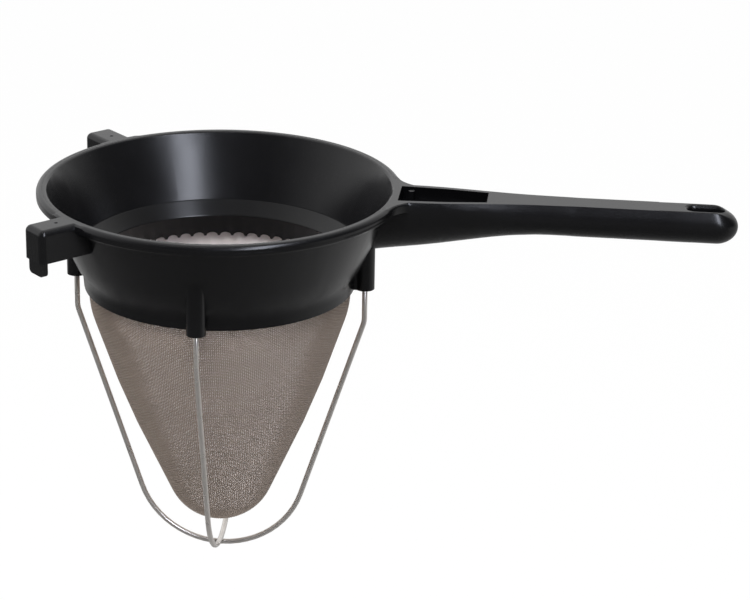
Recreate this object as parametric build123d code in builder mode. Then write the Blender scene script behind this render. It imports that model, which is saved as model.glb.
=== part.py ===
import os
from math import acos, atan2, cos, hypot, pi, radians, sin, sqrt, tan

from build123d import *

os.makedirs("parts", exist_ok=True)

# Conical strainer: a moulded black body, a sieve that lifts out and a guard of two wires.
# The origin is the centre of the mouth, in the plane of the rim. +X runs along the handle.

# Body: rim, conical bowl and collar
mouth_radius = 95.5
rim_width = 5.5
rim_height = 6.0
rim_outer_edge = 1.0
rim_inner_edge = 1.0
bowl_wall = 3.3
shoulder_depth = 43.5
shoulder_drop = 4.5
body_depth = 57.0
collar_bore_radius = 73.6
collar_wall = 2.2
collar_draft = 0.8
bowl_foot_radius = 76.6

# Body: handle, whose stations run from the centre of the mouth
root_station = 84.0
web_station = 103.0
waist_station = 126.0
neck_station = 150.0
throat_station = 174.0
grip_station = 198.0
slope_station = 268.0
end_station = 275.5
root_top_half_width = 15.0
root_side_half_width = 15.8
root_height = 33.2
web_height = 30.2
waist_top_half_width = 13.8
waist_side_half_width = 14.8
waist_height = 26.6
neck_top_half_width = 10.7
neck_side_half_width = 12.2
neck_height = 22.3
throat_top_half_width = 8.4
throat_side_half_width = 10.4
throat_height = 19.5
grip_top_half_width = 7.4
grip_side_half_width = 10.0
grip_height = 19.4
end_top_half_width = 1.2
root_widest_depth = 5.0
neck_widest_depth = 7.0
grip_widest_depth = 9.0
flare_radius = 20.0
flare_inset = 0.4

# Body: pocket moulded into the handle's root, and the slot that the strainer hangs by
pocket_start = 100.0
pocket_end = 148.5
pocket_wall = 2.8
pocket_corner = 4.5
nub_station = 105.8
nub_offset = 8.8
nub_radius = 1.7
nub_top = 1.2
slot_middle = 267.5
slot_length = 20.0
slot_width = 9.0
slot_edge = 1.6

# Body: two hooks that catch the rim of a pot
hook_angle = 45.0
hook_reach = 122.0
hook_root = 89.0
hook_half_width = 8.8
hook_height = 18.2
hook_edge = 3.4
hook_wall = 3.0
hook_roof = 4.5
finger_drop = 8.4
finger_half_width = 6.7
finger_setback = 1.8
finger_thickness = 3.2
finger_corner = 2.6
dimple_station = 107.0
dimple_radius = 1.0
dimple_depth = 0.6

# Body: four sockets that hold the ends of the guard's wires
socket_count = 4
socket_circle_radius = 81.6
socket_radius = 5.4
socket_rise = 36.0
socket_web_half_width = 3.6
socket_hole_depth = 20.0
socket_fit = 0.05

# Sieve: moulded ring that lies in the foot of the bowl, arched along its lower edge
seat_gap = 0.3
cloth_slide_gap = 0.4
ring_top_depth = 36.0
ring_lip = 1.7
ring_throat_radius = 70.3
ring_throat_depth = 43.2
ring_bore_radius = 69.8
ring_foot_rise = 1.4
arch_count = 56
arch_sides = 6
arch_share = 0.8
arch_height = 2.2

# Sieve: cone of woven wire cloth, held between the ring's skirt and the collar
cloth_thickness = 0.8
cloth_fit = 0.1
cone_bend_depth = 68.7
cone_bend_radius = 45.0
cone_waist_radius = 54.1
cone_waist_depth = 125.6
cone_tip_depth = 201.7
cone_tip_radius = 31.3
cone_tip_sides = 5

# Sieve: a plain grid of openings in the cone stands for the fine mesh of the cloth
mesh_columns = 16
mesh_rows_above_waist = 3
mesh_rows_below_waist = 4
mesh_bar = 3.0
mesh_hub_radius = 10.0
mesh_width_share = 0.75

# Guard: two bent wires that cross below the cone
wire_radius = 1.5
wire_sides = 12
wire_gap = 0.15
wire_end_gap = 0.3
guard_depth = 219.5
guard_lean = 18.0
guard_bend_depth = 77.0
guard_bend_radius = 14.0

# Sides that stand for a small round post or dimple, and one overrun for every cutting tool
small_sides = 10
overrun = 2.0

rim_radius = mouth_radius + rim_width
collar_foot_radius = collar_bore_radius + collar_wall
bowl_slope = (mouth_radius - bowl_foot_radius) / shoulder_depth
bore_depth = shoulder_depth + shoulder_drop

# The pocket's nub ends halfway into the oval wall below it
nub_share = nub_offset / (root_side_half_width - pocket_wall / 2)
nub_foot = root_widest_depth + (web_height - root_widest_depth - pocket_wall / 2) * sqrt(1 - nub_share**2)


def bowl_radius(depth):
    """Inner radius of the conical bowl at a depth below the rim's top."""
    return mouth_radius - bowl_slope * depth


# Outside of the bowl and collar, turned as one solid
with BuildPart() as shell:
    with BuildSketch(Plane.XZ):
        with BuildLine():
            Polyline(
                (0, 0),
                (mouth_radius + bowl_wall, 0),
                (bowl_foot_radius + bowl_wall, -shoulder_depth),
                (collar_foot_radius + collar_draft, -bore_depth),
                (collar_foot_radius, -body_depth),
                (0, -body_depth),
                close=True,
            )
        make_face()
    revolve(axis=Axis.Z)

# Hollow of the bowl and collar, taken out once all that reaches the wall is joined
with BuildPart() as hollow:
    with BuildSketch(Plane.XZ):
        with BuildLine():
            Polyline(
                (0, overrun),
                (mouth_radius + rim_inner_edge, overrun),
                (mouth_radius + rim_inner_edge, 0),
                (bowl_radius(rim_inner_edge), -rim_inner_edge),
                (bowl_foot_radius, -shoulder_depth),
                (collar_bore_radius, -bore_depth),
                (collar_bore_radius, -body_depth - overrun),
                (0, -body_depth - overrun),
                close=True,
            )
        make_face()
    revolve(axis=Axis.Z)

# Sections of the handle's root: station, top half width, side half width, widest depth, height
handle_sections = (
    (root_station, root_top_half_width, root_side_half_width, root_widest_depth, root_height),
    (web_station, root_top_half_width, root_side_half_width, root_widest_depth, web_height),
    (waist_station, waist_top_half_width, waist_side_half_width, root_widest_depth, waist_height),
    (neck_station, neck_top_half_width, neck_side_half_width, neck_widest_depth, neck_height),
    (throat_station, throat_top_half_width, throat_side_half_width, grip_widest_depth, throat_height),
    (grip_station, grip_top_half_width, grip_side_half_width, grip_widest_depth, grip_height),
)


def handle_outline(top, side, widest, height):
    """Draw one section of the handle: flat top, bulging shoulders and an oval underside."""
    Line((-top, 0), (top, 0))
    TangentArc((side, -widest), (top, 0), tangent=(0, 1))
    EllipticalCenterArc((0, -widest), side, height - widest, 180, arc_size=180)
    TangentArc((-side, -widest), (-top, 0), tangent=(0, 1))


# Handle: lofted root, straight grip, and an end that rounds over beside the hang slot
with BuildPart() as handle:
    for station, top, side, widest, height in handle_sections:
        with BuildSketch(Plane.YZ.offset(station)):
            with BuildLine():
                handle_outline(top, side, widest, height)
            make_face()
    loft()
    extrude(handle.faces().sort_by(Axis.X)[-1], amount=slope_station - grip_station)
    for station, top in ((slope_station, grip_top_half_width), (end_station, end_top_half_width)):
        with BuildSketch(Plane.YZ.offset(station)) as end_section:
            with BuildLine():
                handle_outline(top, grip_side_half_width, grip_widest_depth, grip_height)
            make_face()
    loft(ruled=True)
    with BuildSketch(Plane.YZ.offset(end_station)):
        add(end_section.sketch_local)
        split(bisect_by=Plane.YZ)
    revolve(axis=Axis((end_station, 0, 0), (0, 0, -1)), revolution_arc=180)

# Hang slot's tool: a plate over the handle's top, flared into the slot that runs down from it
with BuildPart() as slot_tool:
    with BuildSketch():
        with Locations((slot_middle, 0)):
            SlotOverall(slot_length + 4 * slot_edge, slot_width + 4 * slot_edge)
    extrude(amount=overrun)
    with BuildSketch():
        with Locations((slot_middle, 0)):
            SlotOverall(slot_length, slot_width)
    extrude(amount=-grip_height - overrun)
    chamfer(slot_tool.edges(Select.LAST).group_by(Axis.Z)[-1], length=slot_edge)

# Rim, with the flares that spread the handle's top into it
with BuildPart() as rim:
    with BuildSketch() as rim_plan:
        with BuildLine():
            Polyline(
                (0, root_top_half_width - flare_inset),
                (waist_station, waist_top_half_width - flare_inset),
                (waist_station, flare_inset - waist_top_half_width),
                (0, flare_inset - root_top_half_width),
                close=True,
            )
        make_face()
        Circle(rim_radius)
        fillet(rim_plan.vertices().group_by(Axis.X)[-2], radius=flare_radius)
    extrude(amount=-rim_height)
    chamfer(rim.faces().filter_by(Axis.Z).edges(), length=rim_outer_edge)

# Pocket in the handle's root: the handle's own form one wall smaller, with rounded corners
with BuildPart() as pocket:
    for station, top, side, widest, height in handle_sections[:-1]:
        inner_top = top - pocket_wall
        inner_side = side - pocket_wall
        with BuildSketch(Plane.YZ.offset(station)):
            with BuildLine():
                Polyline((-inner_top, 0), (-inner_top, overrun), (inner_top, overrun), (inner_top, 0))
                Line((inner_top, 0), (inner_side, -widest))
                EllipticalCenterArc(
                    (0, -widest), inner_side, height - widest - pocket_wall, 180, arc_size=180
                )
                Line((-inner_side, -widest), (-inner_top, 0))
            make_face()
    loft(ruled=True)
    with BuildSketch(Plane.XY.offset(overrun)):
        with Locations(((pocket_start + pocket_end) / 2, 0)):
            RectangleRounded(pocket_end - pocket_start, 2 * root_side_half_width, pocket_corner)
    extrude(amount=-root_height - overrun, mode=Mode.INTERSECT)

# One hook, drawn along +X: a cored block with a finger that hangs from its outer wall
with BuildPart() as hook:
    with BuildSketch(Plane.XZ):
        with BuildLine():
            Polyline(
                (hook_root, 0),
                (hook_reach, 0),
                (hook_reach, -hook_height),
                (hook_root, -hook_height),
                close=True,
            )
        make_face()
    extrude(amount=hook_half_width, both=True)
    outer_face = hook.faces().sort_by(Axis.X)[-1]
    top_face = hook.faces().sort_by(Axis.Z)[-1]
    round_edges = outer_face.edges().sort_by(Axis.Z)[1:] + top_face.edges().filter_by(Axis.X)
    fillet(round_edges, radius=hook_edge)
    with BuildSketch(Plane.XY.offset(-hook_height)):
        with Locations(((hook_root + hook_reach - hook_wall) / 2, 0)):
            Rectangle(hook_reach - hook_wall - hook_root, 2 * (hook_half_width - hook_wall))
    extrude(amount=hook_height - hook_roof, mode=Mode.SUBTRACT)
    with BuildSketch(Plane.YZ.offset(hook_reach - finger_setback - finger_thickness)) as finger:
        with BuildLine():
            Polyline(
                (-finger_half_width, -hook_roof),
                (finger_half_width, -hook_roof),
                (finger_half_width, -hook_height - finger_drop),
                (-finger_half_width, -hook_height - finger_drop),
                close=True,
            )
        make_face()
        fillet(finger.vertices().group_by(Axis.Z)[0], radius=finger_corner)
    extrude(amount=finger_thickness)
    with BuildSketch():
        with Locations((dimple_station, 0)):
            RegularPolygon(dimple_radius, small_sides)
    extrude(amount=-dimple_depth, mode=Mode.SUBTRACT)

# One socket, drawn along +X: a round post with a web that roots it in the collar
with BuildPart() as socket:
    with BuildSketch(Plane.XY.offset(-body_depth)):
        with Locations((socket_circle_radius, 0)):
            Circle(socket_radius)
    extrude(amount=socket_rise)
    with BuildSketch(Plane.XY.offset(-body_depth)):
        with Locations(((socket_circle_radius + collar_bore_radius) / 2, 0)):
            Rectangle(socket_circle_radius - collar_bore_radius, 2 * socket_web_half_width)
    extrude(amount=socket_rise)

# The body in one moulding
with BuildPart() as strainer_body:
    add(shell.part)
    with PolarLocations(0, socket_count):
        add(socket.part)
    add(rim.part)
    add(handle.part)
    for side in (1, -1):
        with Locations(Location((0, 0, 0), (0, 0, side * (180 - hook_angle)))):
            add(hook.part)
    add(hollow.part, mode=Mode.SUBTRACT)
    add(pocket.part, mode=Mode.SUBTRACT)
    add(slot_tool.part, mode=Mode.SUBTRACT)
    with BuildSketch(Plane.XY.offset(-nub_top)):
        with Locations((nub_station, nub_offset)):
            RegularPolygon(nub_radius, small_sides)
    extrude(amount=nub_top - nub_foot)
    with BuildSketch(Plane.XY.offset(-body_depth)):
        with PolarLocations(socket_circle_radius, socket_count):
            RegularPolygon(wire_radius + socket_fit, wire_sides, major_radius=False)
    extrude(amount=socket_hole_depth, mode=Mode.SUBTRACT)
strainer_body.part.label = "strainer_body"
export_step(strainer_body.part, "parts/strainer_body.step")

# Sieve ring: a lip that follows the bowl, and a skirt that holds the cloth out to the collar
cloth_outer_radius = collar_bore_radius - cloth_slide_gap
skirt_radius = cloth_outer_radius - cloth_thickness - cloth_fit
ring_bottom_depth = body_depth - ring_foot_rise
arch_width = 2 * pi * skirt_radius / arch_count * arch_share
arch_radius = (arch_width**2 / 4 + arch_height**2) / (2 * arch_height)

# Tool for one arch of the ring's lower edge, drawn along +X, whose flats stand for a round top
with BuildPart() as arch_tool:
    with BuildSketch(Plane.YZ.offset(ring_bore_radius - overrun)):
        with Locations((0, arch_height - ring_bottom_depth - arch_radius)):
            RegularPolygon(arch_radius, arch_sides)
    extrude(amount=skirt_radius - ring_bore_radius + 2 * overrun)

with BuildPart() as sieve_ring:
    with BuildSketch(Plane.XZ):
        with BuildLine():
            Polyline(
                (bowl_radius(ring_top_depth) - seat_gap, -ring_top_depth),
                (bowl_foot_radius - seat_gap, -shoulder_depth),
                (collar_bore_radius - seat_gap, -bore_depth),
                (skirt_radius, -bore_depth),
                (skirt_radius, -ring_bottom_depth),
                (ring_bore_radius, -ring_bottom_depth),
                (ring_throat_radius, -ring_throat_depth),
                (bowl_radius(ring_top_depth) - seat_gap - ring_lip, -ring_top_depth),
                close=True,
            )
        make_face()
    revolve(axis=Axis.Z)
    with PolarLocations(0, arch_count):
        add(arch_tool.part, mode=Mode.SUBTRACT)
sieve_ring.part.label = "sieve_ring"
export_step(sieve_ring.part, "parts/sieve_ring.step")

# Tool for one column of the cone's openings: a stack of wedges about the axis, with a bar between
# each two. One bar lies on the waist.
mesh_pitch = (cone_waist_depth - body_depth) / mesh_rows_above_waist
mesh_middle_depth = cone_waist_depth + (mesh_rows_below_waist - mesh_rows_above_waist) * mesh_pitch / 2
with BuildPart() as mesh_tool:
    with BuildSketch(Plane.XZ):
        with Locations((mesh_hub_radius + cloth_outer_radius / 2, -mesh_middle_depth)):
            with GridLocations(0, mesh_pitch, 1, mesh_rows_above_waist + mesh_rows_below_waist):
                Rectangle(cloth_outer_radius, mesh_pitch - mesh_bar)
    revolve(axis=Axis.Z, revolution_arc=360 / mesh_columns * mesh_width_share)

# Sieve cone: a sheet of cloth formed to a blunt cone, open at the top, with flats for its round tip
cloth_top_depth = bore_depth + seat_gap
tip_centre_depth = cone_tip_depth - cone_tip_radius
tip_rise = tip_centre_depth - cone_waist_depth
with BuildPart() as sieve_cone:
    for inset, how in ((0, Mode.ADD), (cloth_thickness, Mode.SUBTRACT)):
        ball = cone_tip_radius - inset
        waist = cone_waist_radius - inset
        tip_lean = acos(ball / hypot(waist, tip_rise)) - atan2(tip_rise, waist)
        lean_step = (pi / 2 - tip_lean) / (cone_tip_sides - 1 / 2)
        leans = [tip_lean + lean_step * side for side in range(cone_tip_sides)]
        tip_line = [(ball * cos(lean), -tip_centre_depth - ball * sin(lean)) for lean in leans]
        with BuildSketch(Plane.XZ):
            with BuildLine():
                Polyline(
                    (0, tip_line[-1][1]),
                    (0, -cloth_top_depth),
                    (cloth_outer_radius - inset, -cloth_top_depth),
                )
                FilletPolyline(
                    (cloth_outer_radius - inset, -cloth_top_depth),
                    (cloth_outer_radius - inset, -cone_bend_depth),
                    (waist, -cone_waist_depth),
                    tip_line[0],
                    radius=(cone_bend_radius, 0),
                )
                Polyline(*tip_line, (0, tip_line[-1][1]))
            make_face()
        revolve(axis=Axis.Z, mode=how)
    with PolarLocations(0, mesh_columns):
        add(mesh_tool.part, mode=Mode.SUBTRACT)
sieve_cone.part.label = "sieve_cone"
export_step(sieve_cone.part, "parts/sieve_cone.step")

# Guard wires: straight ends in the sockets, then legs that lean in to one round bottom.
# A section of many sides stands for the round wire.
wire_top = -body_depth + socket_hole_depth - wire_end_gap
apex_depth = guard_bend_depth + socket_circle_radius / tan(radians(guard_lean))
for name, plane, depth in (
    ("guard_wire_outer", Plane.XZ, guard_depth),
    ("guard_wire_inner", Plane.YZ, guard_depth - 2 * wire_radius - wire_gap),
):
    bottom_radius = (apex_depth - depth) / (1 / sin(radians(guard_lean)) - 1)
    with BuildPart() as wire:
        with BuildLine(plane) as path:
            FilletPolyline(
                (-socket_circle_radius, wire_top),
                (-socket_circle_radius, -guard_bend_depth),
                (0, -apex_depth),
                (socket_circle_radius, -guard_bend_depth),
                (socket_circle_radius, wire_top),
                radius=(guard_bend_radius, bottom_radius, guard_bend_radius),
            )
        with BuildSketch(Plane(origin=path.line @ 0, z_dir=path.line % 0)):
            RegularPolygon(wire_radius, wire_sides)
        sweep()
    wire.part.label = name
    export_step(wire.part, f"parts/{name}.step")
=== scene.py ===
from math import cos, radians, sin

import bmesh
import bpy
import numpy as np
from mathutils import Matrix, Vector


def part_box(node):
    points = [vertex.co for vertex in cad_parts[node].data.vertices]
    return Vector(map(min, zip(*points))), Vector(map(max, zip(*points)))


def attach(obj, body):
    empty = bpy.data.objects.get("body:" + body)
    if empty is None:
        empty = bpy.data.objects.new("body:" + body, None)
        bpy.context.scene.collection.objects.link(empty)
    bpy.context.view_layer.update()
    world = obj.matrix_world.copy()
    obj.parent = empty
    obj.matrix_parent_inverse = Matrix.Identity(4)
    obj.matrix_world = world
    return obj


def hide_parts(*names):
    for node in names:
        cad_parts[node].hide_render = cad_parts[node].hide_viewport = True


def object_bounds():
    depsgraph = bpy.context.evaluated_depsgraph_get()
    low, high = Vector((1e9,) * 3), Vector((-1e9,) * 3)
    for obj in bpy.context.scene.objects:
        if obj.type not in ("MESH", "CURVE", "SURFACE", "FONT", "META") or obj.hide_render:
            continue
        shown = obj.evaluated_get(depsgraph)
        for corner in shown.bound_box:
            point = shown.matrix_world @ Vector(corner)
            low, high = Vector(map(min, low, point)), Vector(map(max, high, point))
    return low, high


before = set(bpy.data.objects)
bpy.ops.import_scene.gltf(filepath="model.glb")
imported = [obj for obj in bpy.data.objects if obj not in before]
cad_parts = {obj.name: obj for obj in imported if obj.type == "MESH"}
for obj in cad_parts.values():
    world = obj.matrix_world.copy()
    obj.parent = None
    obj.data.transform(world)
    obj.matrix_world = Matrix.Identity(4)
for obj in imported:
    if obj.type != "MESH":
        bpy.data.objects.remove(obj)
cad_box = [list(corner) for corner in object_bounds()]
bpy.context.scene.view_settings.view_transform = "Standard"

# Camera at the photograph's viewing angle: a long lens 1.5 m from the strainer's mouth, a little
# to the right of the front, 21 degrees up, and rolled by one degree.
camera_azimuth, camera_elevation, camera_roll = radians(5.61), radians(21.33), radians(1.04)
camera_distance, camera_right, camera_up = 1.5, 0.08697, -0.06248
camera_data = bpy.data.cameras.new("camera")
camera_data.sensor_width, camera_data.lens = 36.0, 130.22
camera = bpy.data.objects.new("camera", camera_data)
bpy.context.scene.collection.objects.link(camera)
bpy.context.scene.camera = camera
back = np.array(
    (
        sin(camera_azimuth) * cos(camera_elevation),
        -cos(camera_azimuth) * cos(camera_elevation),
        sin(camera_elevation),
    )
)
right = np.array((cos(camera_azimuth), sin(camera_azimuth), 0.0))
up = np.cross(back, right)
place = camera_distance * back + camera_right * right + camera_up * up
rolled_right = cos(camera_roll) * right + sin(camera_roll) * up
rolled_up = cos(camera_roll) * up - sin(camera_roll) * right
turn = Matrix(np.column_stack((rolled_right, rolled_up, back)).tolist()).to_4x4()
camera.matrix_world = Matrix.Translation(place.tolist()) @ turn

# Body: one moulding in black polyamide, with rim, bowl, collar, handle, pot hooks and the four
# sockets of the guard. It leaves the mould with soft edges and a faint, even grain.
edge_round, edge_angle, edge_steps = 0.0012, radians(50), 3
rim_radius, rim_bevel, bead_width, bead_drop = 0.101, 0.001, 0.0029, 0.0029
hook_turn, rim_clear_of_hook, rim_clear_of_handle, near = 135.0, 8.0, 17.0, 0.0001
edge_crisp, copy_end = radians(42), 0.242
merge_reach, flat_angle, cut_reach = 0.000002, 0.004, 0.000001
gloss_less, gloss_more, tint_rise = 0.04, 0.06, 1.4


def plastic(name, black, roughness):
    """Black moulded plastic: a near black base, a clean gloss broken by a fine grain. Inputs 6
    and 7 of a colour mix are its two colours, and output 2 is the mixed one."""
    made = bpy.data.materials.new(name)
    made.use_nodes = True
    nodes, links = made.node_tree.nodes, made.node_tree.links
    shader = nodes["Principled BSDF"]
    shader.inputs["IOR"].default_value = 1.5
    shader.inputs["Specular IOR Level"].default_value = 0.38
    place = nodes.new("ShaderNodeTexCoord")
    cloud = nodes.new("ShaderNodeTexNoise")
    cloud.inputs["Scale"].default_value = 38.0
    cloud.inputs["Detail"].default_value = 3.0
    links.new(place.outputs["Object"], cloud.inputs["Vector"])
    gloss = nodes.new("ShaderNodeMapRange")
    gloss.inputs["To Min"].default_value = roughness - gloss_less
    gloss.inputs["To Max"].default_value = roughness + gloss_more
    links.new(cloud.outputs["Fac"], gloss.inputs["Value"])
    links.new(gloss.outputs["Result"], shader.inputs["Roughness"])
    tint = nodes.new("ShaderNodeMix")
    tint.data_type = "RGBA"
    tint.inputs[6].default_value = (*black, 1.0)
    tint.inputs[7].default_value = (*(shade * tint_rise for shade in black), 1.0)
    links.new(cloud.outputs["Fac"], tint.inputs["Factor"])
    links.new(tint.outputs[2], shader.inputs["Base Color"])
    grain = nodes.new("ShaderNodeTexNoise")
    grain.inputs["Scale"].default_value = 1500.0
    grain.inputs["Detail"].default_value = 2.0
    links.new(place.outputs["Object"], grain.inputs["Vector"])
    bump = nodes.new("ShaderNodeBump")
    bump.inputs["Strength"].default_value = 0.1
    bump.inputs["Distance"].default_value = 0.0001
    links.new(grain.outputs["Fac"], bump.inputs["Height"])
    links.new(bump.outputs["Normal"], shader.inputs["Normal"])
    return made


def moulded(node, name, material):
    """A merged copy of a solid with rounded edges: flat faces are joined, the handle's end is cut
    off and capped, the rim's narrow bevel is drawn out to the bead's width and height, and the
    other crisp edges are bevelled."""
    work = bmesh.new()
    work.from_mesh(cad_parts[node].data)
    bmesh.ops.remove_doubles(work, verts=work.verts, dist=merge_reach)
    bmesh.ops.dissolve_limit(work, angle_limit=flat_angle, verts=work.verts, edges=work.edges)
    cut = bmesh.ops.bisect_plane(
        work,
        geom=[*work.verts, *work.edges, *work.faces],
        dist=cut_reach,
        plane_co=(copy_end, 0.0, 0.0),
        plane_no=(1.0, 0.0, 0.0),
        clear_outer=True,
    )["geom_cut"]
    cut_edges = [part for part in cut if isinstance(part, bmesh.types.BMEdge)]
    bmesh.ops.contextual_create(work, geom=cut_edges)
    mesh = bpy.data.meshes.new(name)
    work.to_mesh(mesh)
    work.free()
    place = np.empty(len(mesh.vertices) * 3, np.float32)
    mesh.vertices.foreach_get("co", place)
    place = place.reshape(-1, 3)
    out = np.hypot(place[:, 0], place[:, 1])
    turn = np.abs(np.degrees(np.arctan2(place[:, 1], place[:, 0])))
    free = (turn > rim_clear_of_handle) & (np.abs(turn - hook_turn) > rim_clear_of_hook)
    upper = free & (np.abs(out - rim_radius + rim_bevel) < near) & (np.abs(place[:, 2]) < near)
    outer = free & (np.abs(out - rim_radius) < near) & (np.abs(place[:, 2] + rim_bevel) < near)
    place[upper, :2] *= ((rim_radius - bead_width) / out[upper])[:, None]
    place[outer, 2] = -bead_drop
    mesh.vertices.foreach_set("co", place.ravel())
    mesh.shade_smooth()
    mesh.set_sharp_from_angle(angle=edge_crisp)
    piece = bpy.data.objects.new(name, mesh)
    bpy.context.scene.collection.objects.link(piece)
    bevel = piece.modifiers.new("edges", "BEVEL")
    bevel.width, bevel.segments = edge_round, edge_steps
    bevel.limit_method, bevel.angle_limit = "ANGLE", edge_angle
    weigh = piece.modifiers.new("shading", "WEIGHTED_NORMAL")
    weigh.mode, weigh.weight, weigh.keep_sharp = "FACE_AREA", 50, True
    mesh.materials.append(material)
    return piece


body_plastic = plastic("black_polyamide", (0.0028, 0.0028, 0.0032), 0.24)
body = moulded("strainer_body", "body_moulding", body_plastic)
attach(body, "body")
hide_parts("strainer_body")

# Handle's end: the same moulding, here as one smooth skin over the solid's end. It keeps the grip's
# flat top and oval underside, closes as half an ellipsoid, and has a hang slot with a soft edge.
grip_top, grip_side, grip_widest, grip_height, grip_edge = 0.0074, 0.01, 0.009, 0.0194, 0.0012
skin_start, skin_full, nose_start, nose_length = 0.232, 0.25, 0.2732, 0.0121
skin_least, skin_most, edge_hold = 0.995, 1.008, 0.0003
round_start, round_full = 0.271, 0.2835
slot_start, slot_end, slot_half, slot_lip, slot_steps = 0.2575, 0.2775, 0.0044, 0.002, 24
edge_points, bulge_points, under_points = 6, 10, 15
straight_stations, nose_stations, last_turn = 30, 24, 89
lip_levels, last_lip_turn, slot_crisp = 8, 84, radians(45)


def closed_mesh(name, points, faces):
    """A smooth closed mesh of points and faces with four corners. The faces are turned round where
    the sum of a . (b x c) over their triangles, which is six times the volume, is negative."""
    a, b, c, d = (points[faces[:, corner]] for corner in range(4))
    volume = np.sum(a * np.cross(b, c)) + np.sum(a * np.cross(c, d))
    faces = faces if volume > 0 else faces[:, ::-1]
    mesh = bpy.data.meshes.new(name)
    mesh.vertices.add(len(points))
    mesh.vertices.foreach_set("co", points.astype(np.float32).ravel())
    mesh.loops.add(faces.size)
    mesh.loops.foreach_set("vertex_index", faces.astype(np.int32).ravel())
    mesh.polygons.add(len(faces))
    mesh.polygons.foreach_set("loop_start", np.arange(0, faces.size, 4, dtype=np.int32))
    mesh.update(calc_edges=True)
    mesh.validate()
    mesh.shade_smooth()
    return mesh


def mesh_piece(name, points, faces, material, body_name):
    """A closed mesh with its material, riding on one body."""
    mesh = closed_mesh(name, points, faces)
    mesh.materials.append(material)
    piece = bpy.data.objects.new(name, mesh)
    bpy.context.scene.collection.objects.link(piece)
    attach(piece, body_name)
    return piece


def grid_faces(rows, columns, rows_closed=True):
    """Faces of a grid whose columns close in a ring, and whose rows do so too, or else end in
    caps: each cap is a strip across its ring, from corners k and k + 1 to those opposite."""
    index = np.arange(rows * columns).reshape(rows, columns)
    below = np.roll(index, -1, axis=0)
    if not rows_closed:
        index, below = index[:-1], below[:-1]
    quads = (index, below, np.roll(below, -1, axis=1), np.roll(index, -1, axis=1))
    faces = np.stack(quads, -1).reshape(-1, 4)
    if rows_closed:
        return faces
    k = np.arange(columns // 2 - 1)
    cap = np.stack((k, k + 1, columns - 2 - k, columns - 1 - k), -1)
    return np.concatenate((faces, cap, cap[:, ::-1] + (rows - 1) * columns))


def rounded_line(corners, radii, turn=radians(6), hold=0.0002):
    """Straight runs joined by tangent arcs: at a corner of angle a the arc of radius r starts
    r tan(a / 2) before it, and its points are start + r (inward (1 - cos t) + along sin t). One
    more point on each side of an arc, a hold away, keeps the straight runs flat in the light."""
    corners = np.array(corners, float)
    points = [corners[:1]]
    for before, corner, after, radius in zip(corners, corners[1:], corners[2:], radii):
        along = (corner - before) / np.linalg.norm(corner - before)
        onward = (after - corner) / np.linalg.norm(after - corner)
        angle = np.arccos(np.clip(along @ onward, -1, 1))
        start = corner - along * radius * np.tan(angle / 2)
        inward = onward - along * (along @ onward)
        inward /= np.linalg.norm(inward)
        t = np.linspace(0, angle, max(2, int(np.ceil(angle / turn)) + 1))[:, None]
        arc = start + radius * (inward * (1 - np.cos(t)) + along * np.sin(t))
        points += [arc[:1] - hold * along, arc, arc[-1:] + hold * onward]
    points.append(corners[-1:])
    return np.concatenate(points)


# One section, from the middle of the top: flat, rounded edge, bulging side, quarter of an ellipse
side_radius = (grip_widest**2 + (grip_side - grip_top) ** 2) / (2 * (grip_side - grip_top))
side_middle = np.array((grip_side - side_radius, -grip_widest))
edge_middle = np.array((side_middle[0], -grip_edge))
edge_middle[0] += np.sqrt((side_radius - grip_edge) ** 2 - (grip_widest - grip_edge) ** 2)
edge_turn = np.arctan2(edge_middle[1] - side_middle[1], edge_middle[0] - side_middle[0])
flat_top = np.array(((0.0, 0.0), (edge_middle[0] / 2, 0.0), (edge_middle[0] - edge_hold, 0.0)))
t = np.linspace(np.pi / 2, edge_turn, edge_points)[:, None]
edge = edge_middle + grip_edge * np.hstack((np.cos(t), np.sin(t)))
t = np.linspace(edge_turn, 0, bulge_points)[1:, None]
bulge = side_middle + side_radius * np.hstack((np.cos(t), np.sin(t)))
t = np.linspace(0, np.pi / 2, under_points)[1:, None]
under = np.hstack((grip_side * np.cos(t), -grip_widest - (grip_height - grip_widest) * np.sin(t)))
half_section = np.concatenate((flat_top, edge, bulge, under))
section = np.concatenate((half_section, half_section[-2:0:-1] * (-1, 1)))
section = np.roll(section, -section[:, 0].argmax(), axis=0)
aim = np.arctan2(section[:, 1] + grip_widest, section[:, 0])
reach = np.where(aim > 0, grip_widest, grip_height - grip_widest)
oval = np.stack((grip_side * np.cos(aim), reach * np.sin(aim) - grip_widest), -1)

# The skin: sections at stations along X, grown by a hair past the solid, then shrunk as the
# cosine of an angle whose sine carries the station to the tip. Near the tip the section eases
# into an oval.
middle_height = -grip_height / 2
straight = np.linspace(skin_start, nose_start, straight_stations)[:-1]
t = np.radians(np.linspace(0, last_turn, nose_stations))
station = np.concatenate((straight, nose_start + nose_length * np.sin(t)))
grown = np.interp(straight, (skin_start, skin_full), (skin_least, skin_most))
grown = np.concatenate((grown, skin_most * np.cos(t)))[:, None]
rounding = np.interp(station, (round_start, round_full), (0.0, 1.0))[:, None, None]
rounding = rounding**2 * (3 - 2 * rounding)
outline = section + rounding * (oval - section)
skin = np.stack(
    (
        np.repeat(station[:, None], len(section), axis=1),
        grown * outline[..., 0],
        middle_height + grown * (outline[..., 1] - middle_height),
    ),
    -1,
)
handle_end = mesh_piece(
    "handle_end_moulding",
    skin.reshape(-1, 3),
    grid_faces(len(station), len(section), rows_closed=False),
    body_plastic,
    "body",
)

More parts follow.
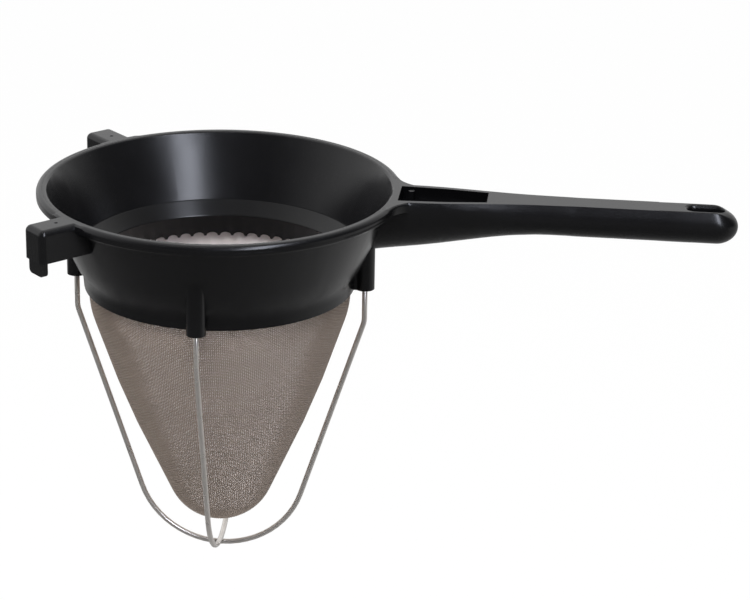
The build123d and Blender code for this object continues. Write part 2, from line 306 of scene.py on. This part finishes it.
# The slot's cutter: a stadium at levels along Z, which spreads as a quarter round at the lip
t = np.linspace(-np.pi / 2, np.pi / 2, slot_steps)
cap_x, cap_y = np.cos(t), np.sin(t)
out_x, out_y = np.concatenate((cap_x, -cap_x)), np.concatenate((cap_y, -cap_y))
core_x = np.repeat((slot_end - slot_half, slot_start + slot_half), slot_steps)
t = np.radians(np.linspace(0, last_lip_turn, lip_levels))
level = np.concatenate(([-2 * grip_height], slot_lip * (np.sin(t) - 1), [slot_lip]))
spread = np.concatenate(([0.0], slot_lip * (1 - np.cos(t)), [slot_lip])) + slot_half
cutter_points = np.stack(
    (
        core_x + spread[:, None] * out_x,
        spread[:, None] * out_y,
        np.repeat(level[:, None], len(core_x), axis=1),
    ),
    -1,
)
cutter_faces = grid_faces(len(level), len(core_x), rows_closed=False)
cutter_mesh = closed_mesh("slot_cutter", cutter_points.reshape(-1, 3), cutter_faces)
cutter = bpy.data.objects.new("slot_cutter", cutter_mesh)
bpy.context.scene.collection.objects.link(cutter)
cut = handle_end.modifiers.new("slot", "BOOLEAN")
cut.operation, cut.solver, cut.object = "DIFFERENCE", "EXACT", cutter
bpy.context.view_layer.update()
depsgraph = bpy.context.evaluated_depsgraph_get()
finished = bpy.data.meshes.new_from_object(handle_end.evaluated_get(depsgraph))
handle_end.modifiers.remove(cut)
handle_end.data = finished
bpy.data.objects.remove(cutter)
finished.set_sharp_from_angle(angle=slot_crisp)
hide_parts("strainer_body")

# Rim's bead: the rounded outer edge of the same moulding, laid over the flattened edge of the copy.
# It stops short of the handle's root and runs on inside the two hooks.
bead_radius, bead_proud, bead_inner, bead_seam = 0.0026, 0.00005, 0.0975, 0.0979
bead_depth, bead_sink = 0.0036, 0.00002
bead_clear, bead_stations = radians(14.5), 400
bead_outer = rim_radius + bead_proud
bead_line = rounded_line(
    (
        (bead_seam, bead_sink),
        (bead_outer, bead_sink),
        (bead_outer, -bead_depth),
        (bead_inner, -bead_depth),
        (bead_inner, bead_sink),
        ((bead_inner + bead_seam) / 2, bead_sink),
    ),
    (bead_radius, bead_proud, bead_proud, bead_proud),
)
azimuth = np.linspace(bead_clear, 2 * np.pi - bead_clear, bead_stations)[:, None]
bead_height = np.repeat(bead_line[None, :, 1], bead_stations, axis=0)
bead_points = np.stack(
    (
        bead_line[:, 0] * np.cos(azimuth),
        bead_line[:, 0] * np.sin(azimuth),
        bead_height,
    ),
    -1,
)
bead = mesh_piece(
    "rim_bead",
    bead_points.reshape(-1, 3),
    grid_faces(bead_stations, len(bead_line), rows_closed=False),
    body_plastic,
    "body",
)
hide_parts("strainer_body")

# Sieve ring: a second black moulding that drops into the foot of the bowl. Its skirt holds the
# wire cloth out to the collar, and has a row of arches along its lower edge.
arch_count, arch_height, arch_half_share = 56, 0.0022, 0.42
skirt_thickness, lip_width, throat_radius, throat_drop = 0.0025, 0.0017, 0.0705, 0.0073
ring_edge, throat_edge, arch_steps, arch_fade = 0.0005, 0.0009, 14, 3
seat_radius, seat_drop, collar_radius, collar_drop = 0.0763, 0.0075, 0.0733, 0.012
cloth_room = 0.0009

ring_low, ring_high = (np.array(corner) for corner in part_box("sieve_ring"))
skirt_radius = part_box("sieve_cone")[1][0] - cloth_room
lip_radius, lip_height, foot_height = ring_high[0], ring_high[2], ring_low[2]
collar_height = lip_height - collar_drop
seat = (seat_radius, lip_height - seat_drop)
bore_radius = skirt_radius - skirt_thickness
loop = rounded_line(
    (
        (lip_radius - lip_width / 2, lip_height),
        (lip_radius, lip_height),
        seat,
        (collar_radius, collar_height),
        (skirt_radius, collar_height),
        (skirt_radius, foot_height),
        (bore_radius, foot_height),
        (throat_radius, lip_height - throat_drop),
        (lip_radius - lip_width, lip_height),
        (lip_radius - lip_width / 2, lip_height),
    ),
    (ring_edge, ring_edge, ring_edge, ring_edge / 2, ring_edge, ring_edge, throat_edge, ring_edge),
)[:-1]
arch_place = np.linspace(-0.5, 0.5, arch_steps, endpoint=False)
arch_rise = arch_height * np.sqrt(np.clip(1 - (arch_place / arch_half_share) ** 2, 0, 1))
azimuth = 2 * np.pi * (np.arange(arch_count)[:, None] + arch_place).ravel() / arch_count
rise = np.tile(arch_rise, arch_count)
foot_share = np.clip((collar_height - loop[:, 1]) / (collar_height - foot_height), 0, 1)
foot_share = foot_share**arch_fade
ring_height = loop[:, 1, None] + foot_share[:, None] * rise
ring_points = np.stack(
    (
        loop[:, 0, None] * np.cos(azimuth),
        loop[:, 0, None] * np.sin(azimuth),
        ring_height,
    ),
    -1,
)
ring_plastic = plastic("black_ring", (0.0022, 0.0022, 0.0024), 0.22)
ring = mesh_piece(
    "sieve_ring_moulding",
    ring_points.reshape(-1, 3),
    grid_faces(len(loop), len(azimuth)),
    ring_plastic,
    "sieve",
)
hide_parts("sieve_ring")

# Wire cloth: plain weave of stainless wire, rolled from one sheet into a blunt cone and lapped at
# the back. Each wire really goes over and under the wires that it crosses.
wire_gloss_less, wire_gloss_more, tint_fall = 0.07, 0.09, 0.82


def steel(name, colour, painted_sheen_colour, metallic, roughness, grain_scale):
    """Drawn stainless wire: metal whose gloss and colour vary a little along the wire. Faces that
    look towards the strainer's axis take a second, given colour: a painted sheen for the light on
    the inside of the cloth."""
    made = bpy.data.materials.new(name)
    made.use_nodes = True
    nodes, links = made.node_tree.nodes, made.node_tree.links
    shader = nodes["Principled BSDF"]
    shader.inputs["Metallic"].default_value = metallic
    place = nodes.new("ShaderNodeTexCoord")
    cloud = nodes.new("ShaderNodeTexNoise")
    cloud.inputs["Scale"].default_value = grain_scale
    cloud.inputs["Detail"].default_value = 4.0
    links.new(place.outputs["Object"], cloud.inputs["Vector"])
    gloss = nodes.new("ShaderNodeMapRange")
    gloss.inputs["To Min"].default_value = roughness - wire_gloss_less
    gloss.inputs["To Max"].default_value = roughness + wire_gloss_more
    links.new(cloud.outputs["Fac"], gloss.inputs["Value"])
    links.new(gloss.outputs["Result"], shader.inputs["Roughness"])
    tint = nodes.new("ShaderNodeMix")
    tint.data_type = "RGBA"
    tint.inputs[6].default_value = (*(shade * tint_fall for shade in colour), 1.0)
    tint.inputs[7].default_value = (*colour, 1.0)
    links.new(cloud.outputs["Fac"], tint.inputs["Factor"])
    faces_out = nodes.new("ShaderNodeVectorMath")
    faces_out.operation = "DOT_PRODUCT"
    flat_place = nodes.new("ShaderNodeVectorMath")
    flat_place.operation = "MULTIPLY"
    flat_place.inputs[1].default_value = (1.0, 1.0, 0.0)
    links.new(place.outputs["Object"], flat_place.inputs[0])
    links.new(place.outputs["Normal"], faces_out.inputs[0])
    links.new(flat_place.outputs["Vector"], faces_out.inputs[1])
    # Painted sheen: a face whose normal points towards the axis takes the second colour in place of
    # the wire's own.
    inside = nodes.new("ShaderNodeMath")
    inside.operation = "LESS_THAN"
    inside.inputs[1].default_value = 0.0
    links.new(faces_out.outputs["Value"], inside.inputs[0])
    lift = nodes.new("ShaderNodeMix")
    lift.data_type = "RGBA"
    links.new(inside.outputs[0], lift.inputs["Factor"])
    links.new(tint.outputs[2], lift.inputs[6])
    lift.inputs[7].default_value = (*painted_sheen_colour, 1.0)
    links.new(lift.outputs[2], shader.inputs["Base Color"])
    return made


cloth_low, cloth_high = (np.array(corner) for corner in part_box("sieve_cone"))
wire_pitch, wire_width, wire_depth = 0.0011, 0.0008, 0.00044
cloth_half, lap_share, longest_step = 0.0004, 1.012, 2.5
least_ring, least_length = 1e-9, 1e-12
bend_height, bend_radius = -0.0687, 0.045
waist_radius, waist_height, waist_bend = 0.0541, -0.1256, 0.3
tip_radius = 0.0313
top_radius = cloth_high[0] - cloth_half
tip_height = cloth_low[2] + cloth_half
tip_arc, waist_middle = tip_radius - cloth_half, waist_radius - cloth_half
tip_rise = waist_height - (tip_height + tip_arc)
lower_lean = np.arccos(tip_arc / np.hypot(waist_middle, tip_rise))
lower_lean -= np.arctan2(tip_rise, waist_middle)
corner_radius = waist_middle - (waist_height - tip_height) * np.tan(lower_lean)
# The meridian's last point but one lies just past the axis, where the tip has no wires
meridian = rounded_line(
    (
        (top_radius, cloth_high[2]),
        (top_radius, bend_height),
        (waist_middle, waist_height),
        (corner_radius, tip_height),
        (0.0, tip_height),
    ),
    (bend_radius, waist_bend, tip_arc),
)
steps = np.diff(meridian, axis=0)
lengths = np.linalg.norm(steps, axis=1)
sines = np.abs(steps[:, 0]) / lengths
share = np.sin(lower_lean)
rolled_steps = lengths * np.maximum(1.0, sines / share)
rolled = np.concatenate((np.cumsum(rolled_steps[::-1])[::-1], [0.0]))
leans = np.arctan2(-steps[:, 0], -steps[:, 1])
middles = (rolled[1:] + rolled[:-1]) / 2


def on_cone(x, y, lift):
    """A point of the flat sheet goes to the cone: its distance r from the roll's apex gives the
    ring, whose radius is R = k r, and its angle a gives the azimuth a / k, from the front."""
    r, a = np.hypot(x, y), np.arctan2(x, y)
    ring = np.interp(r, rolled[::-1], meridian[::-1, 0])
    height = np.interp(r, rolled[::-1], meridian[::-1, 1])
    lean = np.interp(r, middles[::-1], leans[::-1])
    azimuth = a * r / np.maximum(ring, least_ring)
    out = ring + lift * np.cos(lean)
    level = height - lift * np.sin(lean)
    point = np.stack((out * np.sin(azimuth), -out * np.cos(azimuth), level), -1)
    return point, np.abs(azimuth) <= np.pi * lap_share, lean


def woven_wires(first):
    """All wires of one family as tubes with four sides. At the crossing (i, j) the
    wire lies half a thickness above the sheet where i + j is even, and below it where it is odd."""
    reach = int(rolled[0] / wire_pitch) + 2
    i, j = np.meshgrid(np.arange(-reach, reach), np.arange(-reach, reach), indexing="ij")
    if not first:
        i, j = j, i
    x, y = (i + 0.5) * wire_pitch, (j + 0.5) * wire_pitch
    lift = wire_depth / 2 * np.where((i + j) % 2 == 0, 1, -1) * (1 if first else -1)
    centre, inside, lean = on_cone(x, y, lift)
    r = np.hypot(x, y)
    inside &= (r < rolled[0]) & (r > wire_pitch)
    azimuth = np.arctan2(centre[..., 0], -centre[..., 1])
    out = np.stack(
        (np.cos(lean) * np.sin(azimuth), -np.cos(lean) * np.cos(azimuth), -np.sin(lean)), -1
    )
    along = np.gradient(centre, axis=1)
    along /= np.maximum(np.linalg.norm(along, axis=-1, keepdims=True), least_length)
    side = np.cross(along, out)
    side /= np.maximum(np.linalg.norm(side, axis=-1, keepdims=True), least_length)
    wide, deep = wire_width / 2 * side, wire_depth / 2 * out
    corners = centre[:, :, None] + np.stack((wide, deep, -wide, -deep), 2)
    gap = np.linalg.norm(centre[:, 1:] - centre[:, :-1], axis=-1)
    runs = inside[:, 1:] & inside[:, :-1] & (gap < longest_step * wire_pitch)
    index = np.arange(centre[..., 0].size).reshape(centre.shape[:2])
    start, stop = index[:, :-1][runs] * 4, index[:, 1:][runs] * 4
    faces = [
        np.stack((start + c, start + (c + 1) % 4, stop + (c + 1) % 4, stop + c), -1)
        for c in range(4)
    ]
    edge = np.zeros_like(runs[:, :1])
    first_end = index[:, :-1][runs & ~np.hstack((edge, runs[:, :-1]))] * 4
    last_end = index[:, 1:][runs & ~np.hstack((runs[:, 1:], edge))] * 4
    caps = np.concatenate(
        (first_end[:, None] + np.array((3, 2, 1, 0)), last_end[:, None] + np.arange(4))
    )
    side_faces = np.stack(faces, 1).reshape(-1, 4)
    return corners.reshape(-1, 3), np.concatenate((side_faces, caps))


# The cloth's inward faces are painted much paler than its wire, a painted sheen that stands in for
# light on the inside of the cloth.
cloth_steel = steel(
    "cloth_wire",
    colour=(0.31, 0.25, 0.208),
    painted_sheen_colour=(0.66, 0.62, 0.615),
    metallic=0.2,
    roughness=0.5,
    grain_scale=160.0,
)
for family in ("warp", "weft"):
    points, faces = woven_wires(family == "warp")
    # There are 4 n n corners, four at each of n crossings on n wires, so one wire has 4 n of them
    row = faces[:, 0] // np.sqrt(4 * len(points))
    for half, mask in (("near", row < row.mean()), ("far", row >= row.mean())):
        used, places = np.unique(faces[mask], return_inverse=True)
        cloth = mesh_piece(
            f"cloth_{family}_{half}",
            points[used],
            places.reshape(-1, 4),
            cloth_steel,
            "sieve",
        )
        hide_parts("sieve_cone")

# Guard: two drawn stainless wires, bent to a round bottom and pressed into the sockets. They cross
# just below the cloth, the inner one above the outer one.
guard_sides = 24
guard_steel = steel(
    "guard_wire",
    colour=(0.8, 0.76, 0.72),
    painted_sheen_colour=(0.8, 0.76, 0.72),
    metallic=0.85,
    roughness=0.28,
    grain_scale=90.0,
)
guard_lean, guard_bend_height, guard_bend_radius = radians(18), -0.077, 0.014
for node, axis in (("guard_wire_outer", 0), ("guard_wire_inner", 1)):
    low, high = (np.array(corner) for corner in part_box(node))
    thickness = (high - low)[1 - axis]
    reach = high[axis] - thickness / 2
    bottom = low[2] + thickness / 2
    apex = guard_bend_height - reach / np.tan(guard_lean)
    bottom_radius = (bottom - apex) / (1 / np.sin(guard_lean) - 1)
    flat = rounded_line(
        (
            (-reach, high[2]),
            (-reach, guard_bend_height),
            (0, apex),
            (reach, guard_bend_height),
            (reach, high[2]),
        ),
        (guard_bend_radius, bottom_radius, guard_bend_radius),
    )
    along = np.gradient(flat, axis=0)
    along /= np.linalg.norm(along, axis=1, keepdims=True)
    path, side, across = np.zeros((3, len(flat), 3))
    path[:, axis], path[:, 2] = flat.T
    side[:, axis], side[:, 2] = -along[:, 1], along[:, 0]
    across[:, 1 - axis] = 1.0
    t = np.linspace(0, 2 * np.pi, guard_sides, endpoint=False)[:, None]
    around = side[:, None] * np.cos(t) + across[:, None] * np.sin(t)
    shell = path[:, None] + thickness / 2 * around
    wire = mesh_piece(
        node + "_steel",
        shell.reshape(-1, 3),
        grid_faces(len(flat), guard_sides, rows_closed=False),
        guard_steel,
        "body",
    )
    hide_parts(node)

# Stage: a floor below the strainer, white to the camera and clear from below. In gloss it is
# dark before the strainer, as with a black card laid there, and paler behind it.
floor_drop, floor_reach = 0.28, 14.0
floor_grey, floor_roughness = (0.8, 0.8, 0.8, 1.0), 0.9
white, black, white_share = (1.0, 1.0, 1.0, 1.0), (0.0, 0.0, 0.0, 1.0), 0.98
card_start, card_end, card_white, gloss_white = -0.4, 0.7, 0.16, 0.55
card_direction = (0.45, 0.89, 0.0)


def direct_sight(nodes, links):
    """The kinds of ray, and 1 for a ray from the camera or one that came through a surface."""
    rays = nodes.new("ShaderNodeLightPath")
    seen = nodes.new("ShaderNodeMath")
    seen.operation = "MAXIMUM"
    links.new(rays.outputs["Is Camera Ray"], seen.inputs[0])
    links.new(rays.outputs["Is Transmission Ray"], seen.inputs[1])
    return rays, seen


floor_mesh = bpy.data.meshes.new("floor")
floor_height = cad_box[0][2] - floor_drop
floor_corners = ((-1, -1), (1, -1), (1, 1), (-1, 1))
floor_mesh.from_pydata(
    [(x * floor_reach, y * floor_reach, floor_height) for x, y in floor_corners],
    [],
    [(0, 1, 2, 3)],
)
floor = bpy.data.objects.new("floor", floor_mesh)
bpy.context.scene.collection.objects.link(floor)
floor_paint = bpy.data.materials.new("floor_paint")
floor_paint.use_nodes = True
nodes, links = floor_paint.node_tree.nodes, floor_paint.node_tree.links
pale = nodes["Principled BSDF"]
pale.inputs["Base Color"].default_value = floor_grey
pale.inputs["Roughness"].default_value = floor_roughness
pale.inputs["Specular IOR Level"].default_value = 0.0
glow = nodes.new("ShaderNodeEmission")
glow.inputs["Color"].default_value = white
unlit = nodes.new("ShaderNodeEmission")
unlit.inputs["Color"].default_value = black
spot = nodes.new("ShaderNodeNewGeometry")
pale_side = nodes.new("ShaderNodeVectorMath")
pale_side.operation = "DOT_PRODUCT"
pale_side.inputs[1].default_value = card_direction
links.new(spot.outputs["Position"], pale_side.inputs[0])
card = nodes.new("ShaderNodeMapRange")
card.interpolation_type = "SMOOTHSTEP"
card.inputs["From Min"].default_value = card_start
card.inputs["From Max"].default_value = card_end
card.inputs["To Min"].default_value = card_white
card.inputs["To Max"].default_value = gloss_white
links.new(pale_side.outputs["Value"], card.inputs["Value"])
gloss_mix = nodes.new("ShaderNodeMixShader")
links.new(card.outputs["Result"], gloss_mix.inputs[0])
links.new(unlit.outputs[0], gloss_mix.inputs[1])
links.new(glow.outputs[0], gloss_mix.inputs[2])
rays, seen = direct_sight(nodes, links)
amount = nodes.new("ShaderNodeMath")
amount.operation = "MULTIPLY"
amount.inputs[1].default_value = white_share
links.new(seen.outputs[0], amount.inputs[0])
mix = nodes.new("ShaderNodeMixShader")
links.new(amount.outputs[0], mix.inputs[0])
links.new(pale.outputs[0], mix.inputs[1])
links.new(glow.outputs[0], mix.inputs[2])
gloss_choice = nodes.new("ShaderNodeMixShader")
links.new(rays.outputs["Is Glossy Ray"], gloss_choice.inputs[0])
links.new(mix.outputs[0], gloss_choice.inputs[1])
links.new(gloss_mix.outputs[0], gloss_choice.inputs[2])
clear = nodes.new("ShaderNodeBsdfTransparent")
side_mix = nodes.new("ShaderNodeMixShader")
links.new(spot.outputs["Backfacing"], side_mix.inputs[0])
links.new(gloss_choice.outputs[0], side_mix.inputs[1])
links.new(clear.outputs[0], side_mix.inputs[2])
links.new(side_mix.outputs[0], nodes["Material Output"].inputs["Surface"])
floor_mesh.materials.append(floor_paint)

# World: white to the camera and even in diffuse light. In gloss it is bright behind the strainer
# and to its left, and dark on the camera's side.
world_direction, world_diffuse = (-0.5, 0.87, 0.0), 0.5
world_start, world_end, world_dark, world_bright = -0.5, 0.6, 0.04, 0.95
world = bpy.data.worlds.new("studio")
bpy.context.scene.world = world
world.use_nodes = True
nodes, links = world.node_tree.nodes, world.node_tree.links
soft = nodes["Background"]
soft.inputs["Color"].default_value = white
direction = nodes.new("ShaderNodeTexCoord")
bright_side = nodes.new("ShaderNodeVectorMath")
bright_side.operation = "DOT_PRODUCT"
bright_side.inputs[1].default_value = world_direction
links.new(direction.outputs["Generated"], bright_side.inputs[0])
fall = nodes.new("ShaderNodeMapRange")
fall.interpolation_type = "SMOOTHSTEP"
fall.inputs["From Min"].default_value = world_start
fall.inputs["From Max"].default_value = world_end
fall.inputs["To Min"].default_value = world_dark
fall.inputs["To Max"].default_value = world_bright
links.new(bright_side.outputs["Value"], fall.inputs["Value"])
rays, seen = direct_sight(nodes, links)
even = nodes.new("ShaderNodeMix")
even.inputs[2].default_value = world_diffuse
links.new(rays.outputs["Is Glossy Ray"], even.inputs[0])
links.new(fall.outputs["Result"], even.inputs[3])
links.new(even.outputs[0], soft.inputs["Strength"])
plain = nodes.new("ShaderNodeBackground")
plain.inputs["Color"].default_value = white
mix = nodes.new("ShaderNodeMixShader")
links.new(seen.outputs[0], mix.inputs[0])
links.new(soft.outputs[0], mix.inputs[1])
links.new(plain.outputs[0], mix.inputs[2])
links.new(mix.outputs[0], nodes["World Output"].inputs["Surface"])

# Key: a tall strip light on the right that leans in over the strainer and faces its mouth. It
# shows in gloss only.
key_width, key_length, key_power, key_colour = 0.42, 1.9, 29.0, (0.84, 0.88, 1.0)
key_low, key_high = np.array(((0.763, -1.44, 0.3), (0.763, -0.405, 1.86)))
key_data = bpy.data.lights.new("key", "AREA")
key_data.shape = "RECTANGLE"
key_data.size, key_data.size_y = key_width, key_length
key_data.energy = key_power
key_data.color = key_colour
key = bpy.data.objects.new("key", key_data)
bpy.context.scene.collection.objects.link(key)
key.visible_diffuse = False
key_middle = (key_low + key_high) / 2
key_along = (key_high - key_low) / np.linalg.norm(key_high - key_low)
key_back = key_middle - key_along * (key_middle @ key_along)
key_back /= np.linalg.norm(key_back)
key_axes = np.column_stack((np.cross(key_along, key_back), key_along, key_back))
key_turn = Matrix(key_axes.tolist()).to_4x4()
key.matrix_world = Matrix.Translation(key_middle.tolist()) @ key_turn

# Top light: a soft square light above, which lights the inside of the cloth. It doesn't show in
# gloss.
top_size, top_power, top_place, top_tilt = 0.8, 45.0, (-0.15, -0.45, 1.24), radians(20)
top_data = bpy.data.lights.new("top", "AREA")
top_data.size = top_size
top_data.energy = top_power
top = bpy.data.objects.new("top", top_data)
bpy.context.scene.collection.objects.link(top)
top.visible_glossy = False
top.location = top_place
top.rotation_euler = (top_tilt, 0.0, 0.0)
